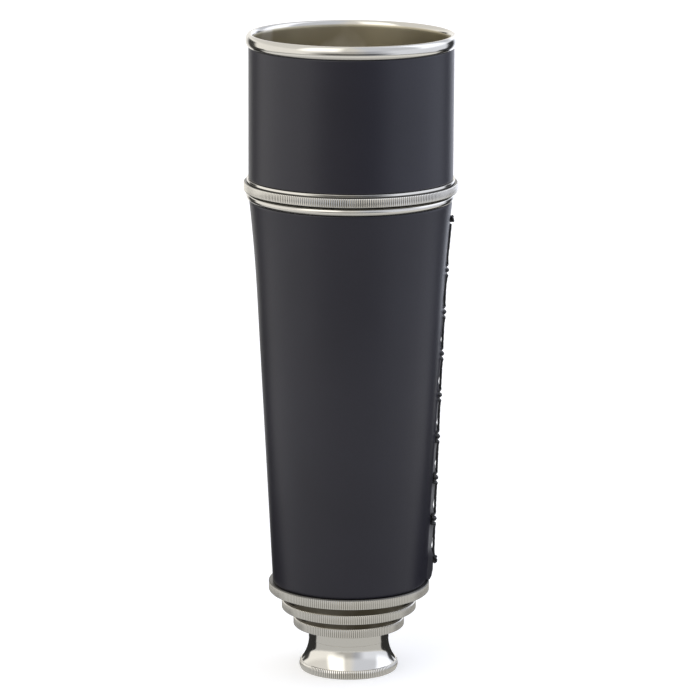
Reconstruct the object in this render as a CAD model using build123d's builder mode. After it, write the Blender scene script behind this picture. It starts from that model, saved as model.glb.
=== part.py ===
"""A drinking flask made in the form of a closed spyglass.

The tapered barrel is the drink vessel. It has a leather cover laced up one side, a shoulder and a
screw neck inside its rolled rim, and a well in its narrow end where two nested cups are stowed like
the draws of a telescope. A leather-covered beaker screws onto the neck and closes it. The flask
stands on the flared eyepiece that is the foot of the inner cup.

Millimetres, +Z up along the axis, origin at the centre of the face that the flask stands on. The
laced seam of the barrel is on the +X side and the stitched seam of the beaker on the +Y side.
"""

import math
import os

from build123d import *

# Driving dimensions
total_height = 210.0
leather = 1.0  # both covers
barrel_sheet = 0.8
cup_sheet = 0.6  # cups, well and beaker
part_line = 0.3  # open line between pieces that move apart
guide_play = 0.1  # radial play of a cup in its collar
stop_play = 0.2  # play at the end of each stroke

# Eyepiece, the foot of the inner cup
foot_face_radius = 15.4
foot_bulge_radius = 16.2
foot_bulge_z = 1.3
foot_height = 2.9
foot_shoulder_radius = 15.5
waist_radius = 13.1
waist_z = 10.3
eyepiece_wall = 1.6
spigot_length = 3.2
foot_recess = 1.6
foot_plate_thickness = 1.0

# Knurled end rings: the inner cup's collar, the outer cup's collar and the barrel's end ring
knurl_chamfer = 0.25
inner_collar_radius = 18.2
inner_collar_low_z = 14.7
inner_collar_high_z = 17.6
outer_collar_radius = 22.05
outer_collar_low_z = 20.4
outer_collar_high_z = 23.3
end_ring_radius = 26.3
end_ring_low_z = 26.6
end_ring_high_z = 29.8
collar_lip = 1.0  # thickness of the guiding lip at the bottom of a collar
grip_height = 3.0  # soft ring above the guiding lip
grip_width = 0.9

# Cups
inner_cup_radius = 17.4
outer_cup_radius = 21.3
outer_cup_high_z = 75.0
well_gap = 0.4

# Barrel: outside of its leather, a straight taper and then a gentle flare
barrel_foot_radius = 25.0
flare_z = 124.0
flare_radius = 30.05
barrel_leather_high_z = 156.4
barrel_mouth_radius = 32.7
barrel_rim_radius = 33.65
barrel_rim_height = 2.65
beaker_low_z = 159.4

# Raised seam of the barrel's leather, and its lacing
seam_width = 3.0
seam_edge_round = 0.8
seam_root = 0.5  # how far the turned-up edges are rooted in the cover
seam_crest_low_radius = 27.2
seam_crest_high_z = 141.0
seam_crest_high_radius = 31.15
seam_high_z = 147.0
lace_diameter = 0.9
lace_knot_diameter = 1.2
lace_half_width = 1.5
lace_height = 0.2  # centre of the lace above the seam's crest
lace_pitch = 6.9
lace_low_z = 36.7
lace_count = 16

# Shoulder, neck and screw thread
shoulder_z = 147.0
shoulder_hole_lap = 2.4
neck_bore = 11.2
neck_wall = 1.4
neck_high_z = 157.0
thread_lead = 2.5
thread_depth = 1.0
thread_root_width = 1.3
thread_crest_width = 0.7
thread_sink = 0.2  # how far a ridge is rooted in its wall
thread_low_z = 149.6
neck_thread_turns = 2.5
socket_thread_turns = 2.25
thread_radial_play = 0.4
thread_flank_play = 0.1
socket_wall = 1.8
socket_low_z = 149.6
socket_cap = 1.4
seal_thickness = 1.0
seal_play = 0.05

# Beaker
beaker_leather_radius = 32.9
beaker_rim_radius = 33.85
beaker_rim_height = 4.3
rim_overlap = 0.1  # how far a rolled rim reaches inside its wall
base_ring_radius = 34.45
base_ring_knurl_height = 2.9
base_ring_groove_radius = 33.1
base_ring_groove_height = 0.3
base_ring_lip_radius = 33.5
base_ring_high_z = 163.4
base_plate_thickness = 0.8
stitch_pitch = 3.2
stitch_length = 2.4
stitch_diameter = 0.6
stitch_count = 12

# Worked out from the driving dimensions
outer_collar_bore = inner_cup_radius + guide_play
end_ring_bore = outer_cup_radius + guide_play
inner_cup_high_z = outer_cup_high_z - cup_sheet - stop_play
inner_cup_low_z = inner_collar_low_z + collar_lip
outer_cup_low_z = outer_collar_low_z + collar_lip
spigot_radius = waist_radius - eyepiece_wall
well_bore = outer_cup_radius + well_gap
well_radius = well_bore + cup_sheet
well_low_z = end_ring_low_z + collar_lip + grip_height
well_high_z = outer_cup_high_z + stop_play + cup_sheet
neck_radius = neck_bore + neck_wall
seal_low_z = neck_high_z + seal_play
socket_cap_z = seal_low_z + seal_thickness + seal_play
socket_high_z = socket_cap_z + socket_cap
socket_bore = neck_radius + thread_depth + thread_radial_play
socket_radius = socket_bore + socket_wall
base_plate_high_z = socket_high_z + base_plate_thickness
beaker_radius = beaker_leather_radius - leather
beaker_bore = beaker_radius - cup_sheet
beaker_leather_high_z = total_height - beaker_rim_height
thread_taper = (thread_root_width - thread_crest_width) / (thread_depth + thread_sink)
mating_width = thread_crest_width + thread_taper * (thread_depth - thread_radial_play)
thread_offset = (thread_crest_width + mating_width) / 2 + thread_flank_play


def leather_side_radius(z):
    """Radius of the outside of the barrel's leather at a height on its straight taper."""
    slope = (flare_radius - barrel_foot_radius) / (flare_z - end_ring_high_z)
    return barrel_foot_radius + slope * (z - end_ring_high_z)


def seam_crest_radius(z):
    """Radius of the seam's crest, which runs out into the flare of the cover."""
    slope = (seam_crest_high_radius - seam_crest_low_radius) / (seam_crest_high_z - end_ring_high_z)
    crest = seam_crest_low_radius + slope * (z - end_ring_high_z)
    flare_share = max(0.0, z - flare_z) / (barrel_leather_high_z - flare_z)
    flare_rise = barrel_mouth_radius - leather_side_radius(barrel_leather_high_z)
    return max(crest, leather_side_radius(z) + flare_rise * flare_share**2)


def barrel_side(inset, low_z, high_z):
    """Draw the barrel's side at an inset from its leather's outside: a taper and a tangent arc."""
    low = (leather_side_radius(low_z) - inset, low_z)
    knee = (flare_radius - inset, flare_z)
    top = (barrel_mouth_radius - inset, high_z)
    taper = Line(low, knee)
    TangentArc(knee, top, tangent=taper % 1)
    return low, top


def barrel_wall(outer_inset, inner_inset, low_z, high_z):
    """Draw the closed section of a wall that follows the barrel's side."""
    outer_low, outer_top = barrel_side(outer_inset, low_z, high_z)
    inner_low, inner_top = barrel_side(inner_inset, low_z, high_z)
    Line(outer_low, inner_low)
    Line(outer_top, inner_top)


def tube(outer, inner, low_z, high_z, mode=Mode.ADD):
    """Section of a straight tube, a rectangle beside the axis. With no inner radius it is a disc."""
    with Locations(((outer + inner) / 2, (low_z + high_z) / 2)):
        Rectangle(outer - inner, high_z - low_z, mode=mode)


def rolled_rim(outer, inner, high_z, height):
    """Oval section of a rolled rim."""
    with Locations(((outer + inner) / 2, high_z - height / 2)):
        Ellipse((outer - inner) / 2, height / 2)


def knurled_band(radius, low_z, high_z, inner):
    """Section of a band at the crest of its knurl, with both outer edges broken."""
    Polyline(
        (inner, low_z),
        (radius - knurl_chamfer, low_z),
        (radius, low_z + knurl_chamfer),
        (radius, high_z - knurl_chamfer),
        (radius - knurl_chamfer, high_z),
        (inner, high_z),
        close=True,
    )


def thread_ridge(radius, low_z, sign):
    """Section of a screw ridge, outwards for sign 1 and inwards for sign -1, sunk into its wall."""
    root = radius - sign * thread_sink
    crest = radius + sign * thread_depth
    Polyline(
        (root, low_z - thread_root_width / 2),
        (crest, low_z - thread_crest_width / 2),
        (crest, low_z + thread_crest_width / 2),
        (root, low_z + thread_root_width / 2),
        close=True,
    )


# Eyepiece: a hollow foot with a knurled edge and a cove, and the plate that closes it

with BuildPart() as eyepiece_foot:
    with BuildSketch(Plane.XZ):
        with BuildLine():
            shoulder_point = (foot_shoulder_radius, foot_height)
            waist_point = (waist_radius, waist_z)
            inside_low_radius = foot_shoulder_radius - eyepiece_wall
            ThreePointArc((foot_face_radius, 0), (foot_bulge_radius, foot_bulge_z), shoulder_point)
            TangentArc(waist_point, shoulder_point, tangent=(0, -1))
            Polyline(
                waist_point,
                (spigot_radius, waist_z),
                (spigot_radius, waist_z + spigot_length),
                (spigot_radius - eyepiece_wall, waist_z + spigot_length),
                (spigot_radius - eyepiece_wall, waist_z),
                (inside_low_radius, foot_height),
                (inside_low_radius, 0),
                (foot_face_radius, 0),
            )
        make_face()
    revolve(axis=Axis.Z)
eyepiece_foot.part.label = "eyepiece_foot"

with BuildPart() as eyepiece_plate:
    with BuildSketch(Plane.XY.offset(foot_recess)):
        Circle(foot_shoulder_radius - eyepiece_wall)
    extrude(amount=foot_plate_thickness)
eyepiece_plate.part.label = "eyepiece_plate"

# Inner cup, mouth up, in the collar that carries the eyepiece

with BuildPart() as inner_cup_collar:
    with BuildSketch(Plane.XZ):
        tube(waist_radius, spigot_radius, waist_z, inner_cup_low_z)
        with BuildLine():
            knurled_band(inner_collar_radius, inner_collar_low_z, inner_collar_high_z, spigot_radius)
        make_face()
        tube(inner_cup_radius, 0, inner_cup_low_z, inner_collar_high_z, mode=Mode.SUBTRACT)
    revolve(axis=Axis.Z)
inner_cup_collar.part.label = "inner_cup_collar"

with BuildPart() as inner_cup:
    with BuildSketch(Plane.XZ):
        tube(inner_cup_radius, 0, inner_cup_low_z, inner_cup_low_z + cup_sheet)
        tube(inner_cup_radius, inner_cup_radius - cup_sheet, inner_cup_low_z, inner_cup_high_z)
    revolve(axis=Axis.Z)
    fillet(inner_cup.edges().group_by(Axis.Z)[-1], radius=cup_sheet * 0.45)
inner_cup.part.label = "inner_cup"

# Outer cup, mouth down over the inner cup, with a collar that guides and grips the inner cup

with BuildPart() as outer_cup_collar:
    pocket_radius = outer_collar_bore + grip_width
    sleeve_radius = outer_cup_radius - cup_sheet
    grip_high_z = outer_cup_low_z + grip_height
    with BuildSketch(Plane.XZ):
        with BuildLine():
            knurled_band(outer_collar_radius, outer_collar_low_z, outer_collar_high_z, outer_collar_bore)
        make_face()
        tube(sleeve_radius, outer_collar_bore, outer_cup_low_z, grip_high_z)
        tube(pocket_radius, outer_collar_bore, outer_cup_low_z, grip_high_z, mode=Mode.SUBTRACT)
        tube(outer_cup_radius, sleeve_radius, outer_cup_low_z, outer_collar_high_z, mode=Mode.SUBTRACT)
    revolve(axis=Axis.Z)
outer_cup_collar.part.label = "outer_cup_collar"

with BuildPart() as inner_cup_grip:
    with BuildSketch(Plane.XZ):
        tube(pocket_radius, outer_collar_bore, outer_cup_low_z, outer_cup_low_z + grip_height)
    revolve(axis=Axis.Z)
inner_cup_grip.part.label = "inner_cup_grip"

with BuildPart() as outer_cup:
    with BuildSketch(Plane.XZ):
        tube(outer_cup_radius, 0, outer_cup_high_z - cup_sheet, outer_cup_high_z)
        tube(outer_cup_radius, outer_cup_radius - cup_sheet, outer_cup_low_z, outer_cup_high_z)
    revolve(axis=Axis.Z)
outer_cup.part.label = "outer_cup"

# Barrel: end ring, well for the cups, tapered wall with a rolled rim, shoulder and screw neck

with BuildPart() as barrel_end_ring:
    ring_sleeve_radius = leather_side_radius(end_ring_high_z) - leather - barrel_sheet
    ring_sleeve_high_z = well_low_z + collar_lip
    with BuildSketch(Plane.XZ):
        with BuildLine():
            knurled_band(end_ring_radius, end_ring_low_z, end_ring_high_z, end_ring_bore)
        make_face()
        tube(ring_sleeve_radius, end_ring_bore, end_ring_high_z, ring_sleeve_high_z)
        tube(well_radius, 0, end_ring_low_z + collar_lip, ring_sleeve_high_z, mode=Mode.SUBTRACT)
    revolve(axis=Axis.Z)
barrel_end_ring.part.label = "barrel_end_ring"

with BuildPart() as outer_cup_grip:
    with BuildSketch(Plane.XZ):
        tube(well_radius, end_ring_bore, end_ring_low_z + collar_lip, well_low_z)
    revolve(axis=Axis.Z)
outer_cup_grip.part.label = "outer_cup_grip"

with BuildPart() as cup_well:
    with BuildSketch(Plane.XZ):
        tube(well_radius, well_bore, well_low_z, well_high_z)
        tube(well_radius, 0, well_high_z - cup_sheet, well_high_z)
    revolve(axis=Axis.Z)
    fillet(cup_well.edges().group_by(Axis.Z)[-1], radius=cup_sheet / 2)
cup_well.part.label = "cup_well"

with BuildPart() as barrel_shell:
    barrel_rim_high_z = beaker_low_z - part_line
    rim_centre_z = barrel_rim_high_z - barrel_rim_height / 2
    mouth_bore = barrel_mouth_radius - leather - barrel_sheet
    with BuildSketch(Plane.XZ):
        with BuildLine():
            barrel_wall(leather, leather + barrel_sheet, end_ring_high_z, rim_centre_z)
        make_face()
        rolled_rim(barrel_rim_radius, mouth_bore - rim_overlap, barrel_rim_high_z, barrel_rim_height)
    revolve(axis=Axis.Z)
barrel_shell.part.label = "barrel_shell"

with BuildPart() as shoulder_plate:
    shoulder_radius = leather_side_radius(shoulder_z) - leather - barrel_sheet
    with BuildSketch(Plane.XZ):
        tube(shoulder_radius, neck_radius, shoulder_z, shoulder_z + barrel_sheet)
    revolve(axis=Axis.Z)
shoulder_plate.part.label = "shoulder_plate"

with BuildPart() as flask_neck:
    flange_low_z = shoulder_z + barrel_sheet
    with BuildSketch(Plane.XZ):
        tube(neck_radius, neck_bore, shoulder_z - barrel_sheet, neck_high_z)
        tube(neck_radius + shoulder_hole_lap, neck_bore, flange_low_z, flange_low_z + barrel_sheet)
    revolve(axis=Axis.Z)
    with BuildLine():
        neck_helix = Helix(
            pitch=thread_lead,
            height=thread_lead * neck_thread_turns,
            radius=neck_radius,
            center=(0, 0, thread_low_z),
        )
    with BuildSketch(Plane.XZ):
        with BuildLine():
            thread_ridge(neck_radius, thread_low_z, 1)
        make_face()
    sweep(path=neck_helix, is_frenet=True)
flask_neck.part.label = "flask_neck"

# Leather cover of the barrel, its two edges turned up along the +X side, and the lacing over them

with BuildPart() as barrel_leather:
    with BuildSketch(Plane.XZ):
        with BuildLine():
            root_low = (barrel_foot_radius - seam_root, end_ring_high_z)
            root_knee = (flare_radius - seam_root, flare_z)
            root_high = (leather_side_radius(seam_high_z) - seam_root, seam_high_z)
            crest_high = (seam_crest_high_radius, seam_crest_high_z)
            crest_low = (seam_crest_low_radius, end_ring_high_z)
            Polyline(root_low, root_knee, root_high, crest_high, crest_low, close=True)
        make_face()
    extrude(amount=seam_width / 2, both=True)
    crest_edges = barrel_leather.edges().filter_by(Axis.Y, reverse=True).sort_by(Edge.length)[-2:]
    fillet(crest_edges, radius=seam_edge_round)
    with BuildSketch(Plane.XZ):
        with BuildLine():
            barrel_wall(0, leather, end_ring_high_z, barrel_leather_high_z)
        make_face()
    revolve(axis=Axis.Z)
barrel_leather.part.label = "barrel_leather"

with BuildPart() as barrel_lacing:
    knots_z = [lace_low_z + number * lace_pitch for number in range(lace_count + 1)]
    knots_x = [seam_crest_radius(z) + lace_height for z in knots_z]
    bar_angle = math.degrees(math.atan(2 * lace_half_width / lace_pitch))
    bar_length = math.hypot(lace_pitch, 2 * lace_half_width)
    for knot_x, knot_z in zip(knots_x, knots_z):
        with Locations((knot_x, lace_half_width, knot_z), (knot_x, -lace_half_width, knot_z)):
            Sphere(lace_knot_diameter / 2)
    for number in range(lace_count):
        bar_x = (knots_x[number] + knots_x[number + 1]) / 2
        bar_z = (knots_z[number] + knots_z[number + 1]) / 2
        lean_angle = math.degrees(math.atan((knots_x[number + 1] - knots_x[number]) / lace_pitch))
        for side in (-1, 1):
            with Locations(Location((bar_x, 0, bar_z), (side * bar_angle, lean_angle, 0))):
                Cylinder(lace_diameter / 2, bar_length)
barrel_lacing.part.label = "barrel_lacing"

# Sealing washer on the mouth of the neck

with BuildPart() as sealing_washer:
    with BuildSketch(Plane.XY.offset(seal_low_z)):
        Circle(neck_radius)
        Circle(neck_bore, mode=Mode.SUBTRACT)
    extrude(amount=seal_thickness)
sealing_washer.part.label = "sealing_washer"

# Beaker: screw socket, base plate, knurled base ring, liner with a rolled rim, leather cover

with BuildPart() as screw_socket:
    with BuildSketch(Plane.XZ):
        tube(socket_radius, socket_bore, socket_low_z, socket_high_z)
        tube(socket_radius, 0, socket_cap_z, socket_high_z)
    revolve(axis=Axis.Z)
    socket_thread_low_z = thread_low_z + thread_lead - thread_offset
    with BuildLine():
        socket_helix = Helix(
            pitch=thread_lead,
            height=thread_lead * socket_thread_turns,
            radius=socket_bore,
            center=(0, 0, socket_thread_low_z),
        )
    with BuildSketch(Plane.XZ):
        with BuildLine():
            thread_ridge(socket_bore, socket_thread_low_z, -1)
        make_face()
    sweep(path=socket_helix, is_frenet=True)
screw_socket.part.label = "screw_socket"

with BuildPart() as beaker_base_plate:
    with BuildSketch(Plane.XY.offset(socket_high_z)):
        Circle(beaker_radius)
    extrude(amount=base_plate_thickness)
beaker_base_plate.part.label = "beaker_base_plate"

with BuildPart() as beaker_base_ring:
    knurl_high_z = beaker_low_z + base_ring_knurl_height
    groove_high_z = knurl_high_z + base_ring_groove_height
    with BuildSketch(Plane.XZ):
        with BuildLine():
            knurled_band(base_ring_radius, beaker_low_z, knurl_high_z, beaker_radius)
        make_face()
        tube(base_ring_groove_radius, beaker_radius, knurl_high_z, groove_high_z)
        tube(base_ring_lip_radius, beaker_radius, groove_high_z, base_ring_high_z)
    revolve(axis=Axis.Z)
beaker_base_ring.part.label = "beaker_base_ring"

with BuildPart() as beaker_liner:
    rim_centre_z = total_height - beaker_rim_height / 2
    with BuildSketch(Plane.XZ):
        tube(beaker_radius, 0, base_plate_high_z, base_plate_high_z + cup_sheet)
        tube(beaker_radius, beaker_bore, base_plate_high_z, rim_centre_z)
        rolled_rim(beaker_rim_radius, beaker_bore - rim_overlap, total_height, beaker_rim_height)
    revolve(axis=Axis.Z)
beaker_liner.part.label = "beaker_liner"

with BuildPart() as beaker_leather:
    with BuildSketch(Plane.XY.offset(base_ring_high_z)):
        Circle(beaker_leather_radius)
        Circle(beaker_radius, mode=Mode.SUBTRACT)
    extrude(amount=beaker_leather_high_z - base_ring_high_z)
beaker_leather.part.label = "beaker_leather"

with BuildPart() as beaker_stitching:
    leather_middle_z = (base_ring_high_z + beaker_leather_high_z) / 2
    with BuildSketch(Plane.YZ):
        with Locations((beaker_leather_radius, leather_middle_z)):
            with GridLocations(0, stitch_pitch, 1, stitch_count):
                Circle(stitch_diameter / 2)
    extrude(amount=stitch_length / 2, both=True)
beaker_stitching.part.label = "beaker_stitching"

pieces = (
    eyepiece_foot,
    eyepiece_plate,
    inner_cup_collar,
    inner_cup,
    outer_cup_collar,
    inner_cup_grip,
    outer_cup,
    barrel_end_ring,
    outer_cup_grip,
    cup_well,
    barrel_shell,
    shoulder_plate,
    flask_neck,
    barrel_leather,
    barrel_lacing,
    sealing_washer,
    screw_socket,
    beaker_base_plate,
    beaker_base_ring,
    beaker_liner,
    beaker_leather,
    beaker_stitching,
)
os.makedirs("parts", exist_ok=True)
for piece in pieces:
    export_step(piece.part, f"parts/{piece.part.label}.step")
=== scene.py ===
"""Looks of the spyglass drinking flask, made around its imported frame.

The frame gives each node's place. The metal is turned on a lathe of its own, with the knurls cut as real
teeth, the covers are leather sleeves with their seams, and the lace is two waxed cords.
"""

import math

import bpy
import numpy as np
from bpy.props import FloatProperty, FloatVectorProperty, IntProperty, PointerProperty
from mathutils import Matrix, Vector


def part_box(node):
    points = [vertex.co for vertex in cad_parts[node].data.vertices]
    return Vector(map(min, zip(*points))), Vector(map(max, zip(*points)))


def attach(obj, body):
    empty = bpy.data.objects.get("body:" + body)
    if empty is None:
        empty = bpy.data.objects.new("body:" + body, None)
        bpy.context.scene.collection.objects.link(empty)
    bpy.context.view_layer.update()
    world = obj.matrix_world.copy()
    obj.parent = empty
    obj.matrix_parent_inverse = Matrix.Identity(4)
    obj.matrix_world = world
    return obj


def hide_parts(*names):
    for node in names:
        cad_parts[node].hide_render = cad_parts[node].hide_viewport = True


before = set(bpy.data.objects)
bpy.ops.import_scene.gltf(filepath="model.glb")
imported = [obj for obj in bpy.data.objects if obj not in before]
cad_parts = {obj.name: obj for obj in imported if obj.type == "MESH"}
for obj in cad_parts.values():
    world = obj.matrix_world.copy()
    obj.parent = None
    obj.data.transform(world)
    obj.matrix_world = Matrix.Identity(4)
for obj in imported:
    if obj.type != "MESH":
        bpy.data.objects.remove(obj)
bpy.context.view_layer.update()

bl_info = {
    "name": "Spyglass Flask",
    "version": (1, 0, 0),
    "blender": (4, 5, 0),
    "location": "View3D > Sidebar > Flask",
    "description": "Builds a leather-covered drinking flask in the form of a closed spyglass",
    "category": "Add Mesh",
}

MM = 0.001
TURN = 2 * math.pi
ROUND_COLUMNS = 288
ARC_STEPS = 6
TOOTH_STEPS = 6
CREST_SHARE = 0.3
BAND_REACH = 0.3 * MM
SHARP_ANGLE = math.radians(32)
CREASE_ANGLE = math.radians(60)


def reach(node):
    """Outer radius, low height and high height of a node of the frame, in metres."""
    low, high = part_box(node)
    return high.x, low.z, high.z


FOOT_R = reach("eyepiece_foot")[0]
INNER_COLLAR_R, WAIST_Z, INNER_COLLAR_TOP_Z = reach("inner_cup_collar")
OUTER_COLLAR_R, OUTER_COLLAR_Z, GRIP_TOP_Z = reach("outer_cup_collar")
END_RING_R, END_RING_Z, _ = reach("barrel_end_ring")
BARREL_RIM_R, BARREL_Z, BARREL_TOP_Z = reach("barrel_shell")
COVER_TOP_R, COVER_Z, COVER_TOP_Z = reach("barrel_leather")
BASE_RING_R = reach("beaker_base_ring")[0]
BEAKER_RIM_R, BEAKER_Z, BEAKER_TOP_Z = reach("beaker_liner")
BEAKER_COVER_R, BEAKER_COVER_Z, BEAKER_COVER_TOP_Z = reach("beaker_leather")

# Sizes that the frame's boxes don't give: walls, the barrel's side, and what the covers and lace share

LEATHER = 1.0 * MM
BARREL_SHEET = 0.8 * MM
CUP_SHEET = 0.6 * MM
FLARE_Z = 124.0 * MM
FLARE_R = 30.05 * MM
COVER_FOOT_R = 25.0 * MM
EDGE_ROUND = 0.3 * MM
ROUNDED_EDGE = 0.35
SEAM_GAP = 0.07 * MM
CREST_RISE = 0.06 * MM
TOP_KNOT_Z = 150.2 * MM
LACE_TOP_Z = 149.6 * MM


def smooth(value, low, high):
    """Smooth step of an array: 0 below low, 1 above high, and 3t^2 - 2t^3 between."""
    part = np.clip((value - low) / (high - low), 0.0, 1.0)
    return part * part * (3.0 - 2.0 * part)


def bell(value, width):
    """Bell curve of an array: 1 at 0, and e^-1 at the width on either side."""
    return np.exp(-((value / width) ** 2))


def lengths(path):
    """Length of a path up to each of its points."""
    return np.concatenate([[0.0], np.cumsum(np.linalg.norm(np.diff(path, axis=0), axis=1))])


def cover_radius(z):
    """Outside of the barrel's leather: a straight taper, then a parabola that leaves it tangent."""
    slope = (FLARE_R - COVER_FOOT_R) / (FLARE_Z - COVER_Z)
    straight = COVER_FOOT_R + slope * (z - COVER_Z)
    full = COVER_TOP_Z - FLARE_Z
    spread = COVER_TOP_R - FLARE_R - slope * full
    return straight + spread * (np.clip(z - FLARE_Z, 0.0, None) / full) ** 2


# Shapes


def corner_arc(before, corner, after, radius):
    """Points of the arc that rounds one corner, with a support point on each side of it."""
    to_before = before - corner
    to_after = after - corner
    long_before = np.linalg.norm(to_before)
    long_after = np.linalg.norm(to_after)
    to_before = to_before / long_before
    to_after = to_after / long_after
    half = math.acos(float(np.clip(to_before @ to_after, -1.0, 1.0))) / 2
    if radius <= 0 or half > math.radians(89):
        return corner[None]
    tangent = min(radius / math.tan(half), 0.42 * long_before, 0.42 * long_after)
    radius = tangent * math.tan(half)
    middle = to_before + to_after
    centre = corner + middle / np.linalg.norm(middle) * radius / math.sin(half)
    start = corner + to_before * tangent - centre
    end = corner + to_after * tangent - centre
    turn = math.pi - 2 * half
    step = np.linspace(0.0, 1.0, ARC_STEPS + 1)[:, None]
    arc = (np.sin((1 - step) * turn) * start + np.sin(step * turn) * end) / math.sin(turn) + centre
    support = 0.15 * tangent
    first = corner + to_before * (tangent + support)
    last = corner + to_after * (tangent + support)
    return np.vstack([first, arc, last])


def section(*corners, closed=True):
    """Section of a turned piece from (radius, height, rounding) corners, in mm, outer side going up."""
    points = np.array([(r, z) for r, z, _ in corners]) * MM
    roundings = [rounding * MM for _, _, rounding in corners]
    count = len(points)
    pieces = []
    for index in range(count):
        if not closed and index in (0, count - 1):
            pieces.append(points[index][None])
            continue
        before = points[index - 1]
        after = points[(index + 1) % count]
        pieces.append(corner_arc(before, points[index], after, roundings[index]))
    return np.vstack(pieces)


def oval(centre, half_width, half_height, start, end, steps):
    """Points of an ellipse between two angles, in degrees, counter-clockwise from the outer side."""
    angle = np.radians(np.linspace(start, end, steps))
    return np.stack(
        [centre[0] + half_width * np.cos(angle), centre[1] + half_height * np.sin(angle)], axis=1
    )


def grid_faces(rows, columns, wrap_rows):
    """Corner numbers of the quads of a grid that wraps round its columns, and its rows if asked."""
    row = np.arange(rows if wrap_rows else rows - 1)[:, None]
    column = np.arange(columns)[None, :]
    next_row = (row + 1) % rows
    next_column = (column + 1) % columns
    quads = [
        row * columns + column,
        row * columns + next_column,
        next_row * columns + next_column,
        next_row * columns + column,
    ]
    return np.stack([np.broadcast_to(q, (len(row), columns)) for q in quads], axis=-1).reshape(-1, 4)


def put_mesh(name, points, quads, triangles=None, sharp=SHARP_ANGLE):
    """Make an object of points and faces, smooth except over edges sharper than an angle."""
    mesh = bpy.data.meshes.new(name)
    loops = quads.ravel()
    starts = np.arange(len(quads)) * 4
    if triangles is not None and len(triangles):
        starts = np.concatenate([starts, len(loops) + np.arange(len(triangles)) * 3])
        loops = np.concatenate([loops, triangles.ravel()])
    mesh.vertices.add(len(points))
    mesh.vertices.foreach_set("co", np.ascontiguousarray(points, np.float32).ravel())
    mesh.loops.add(len(loops))
    mesh.loops.foreach_set("vertex_index", loops.astype(np.int32))
    mesh.polygons.add(len(starts))
    mesh.polygons.foreach_set("loop_start", starts.astype(np.int32))
    mesh.update(calc_edges=True)
    mesh.validate()
    mesh.shade_smooth()
    if sharp:
        mesh.set_sharp_from_angle(angle=sharp)
    piece = bpy.data.objects.new(name, mesh)
    bpy.context.scene.collection.objects.link(piece)
    return piece


def put_attribute(piece, name, values):
    """Store one number at each point of a piece, for its material to read."""
    attribute = piece.data.attributes.new(name, "FLOAT", "POINT")
    attribute.data.foreach_set("value", values.astype(np.float32).ravel())


def turned(name, profile, angles=None, radii=None):
    """Turn a section about Z. A point of it is (radius cos angle, radius sin angle, height).

    radii, if given, is the radius of each section point at each angle. A section that starts and ends
    on the axis is closed by a fan at each end, and any other wraps round on itself.
    """
    if angles is None:
        angles = np.arange(ROUND_COLUMNS) * TURN / ROUND_COLUMNS
    columns = len(angles)
    capped = profile[0, 0] < 1e-9 and profile[-1, 0] < 1e-9
    if radii is None:
        radii = np.repeat(profile[:, :1], columns, axis=1)
    heights = np.repeat(profile[:, 1:], columns, axis=1)
    points = np.stack([radii * np.cos(angles), radii * np.sin(angles), heights], axis=-1)
    if not capped:
        return put_mesh(name, points.reshape(-1, 3), grid_faces(len(profile), columns, True))
    body = points[1:-1].reshape(-1, 3)
    poles = np.array([[0, 0, profile[0, 1]], [0, 0, profile[-1, 1]]])
    column = np.arange(columns)
    after = (column + 1) % columns
    last = (len(profile) - 3) * columns
    low_pole = len(body)
    fan_low = np.stack([np.full(columns, low_pole), after, column], axis=1)
    fan_high = np.stack([last + column, last + after, np.full(columns, low_pole + 1)], axis=1)
    quads = grid_faces(len(profile) - 2, columns, False)
    return put_mesh(name, np.vstack([body, poles]), quads, np.vstack([fan_low, fan_high]))


def knurled(name, profile, crest, radius, metal):
    """Turn a section and cut straight V grooves into it, a flat crest between each two.

    crest is the radius that the groove's depth is measured from at each section point, and infinite
    where nothing is cut: radius = min(section radius, crest - depth * wave(angle)). The wave is a triangle
    whose lowest CREST_SHARE is cut off. It goes into the attribute "groove", 0 on a tooth and 1 at the
    bottom of a groove. The teeth are as many as come nearest to the knurl's pitch round radius.
    """
    teeth = round(TURN * radius / metal.knurl_pitch)
    angles = np.arange(teeth * TOOTH_STEPS) * TURN / (teeth * TOOTH_STEPS)
    phase = np.arange(teeth * TOOTH_STEPS) % TOOTH_STEPS / TOOTH_STEPS
    triangle = 1.0 - np.abs(2.0 * phase - 1.0)
    wave = np.clip((triangle - CREST_SHARE) / (1.0 - CREST_SHARE), 0.0, 1.0)
    radii = np.minimum(profile[:, :1], crest[:, None] - metal.knurl_depth * wave[None, :])
    piece = turned(name, profile, angles, radii)
    put_attribute(piece, "groove", np.isfinite(crest)[:, None] * wave[None, :])
    return piece


def knurled_band(name, profile, radius, metal):
    """Knurled piece whose teeth are cut where the section comes within BAND_REACH of a radius."""
    crest = np.where(profile[:, 0] > radius - BAND_REACH, radius, np.inf)
    return knurled(name, profile, crest, radius, metal)


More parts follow.
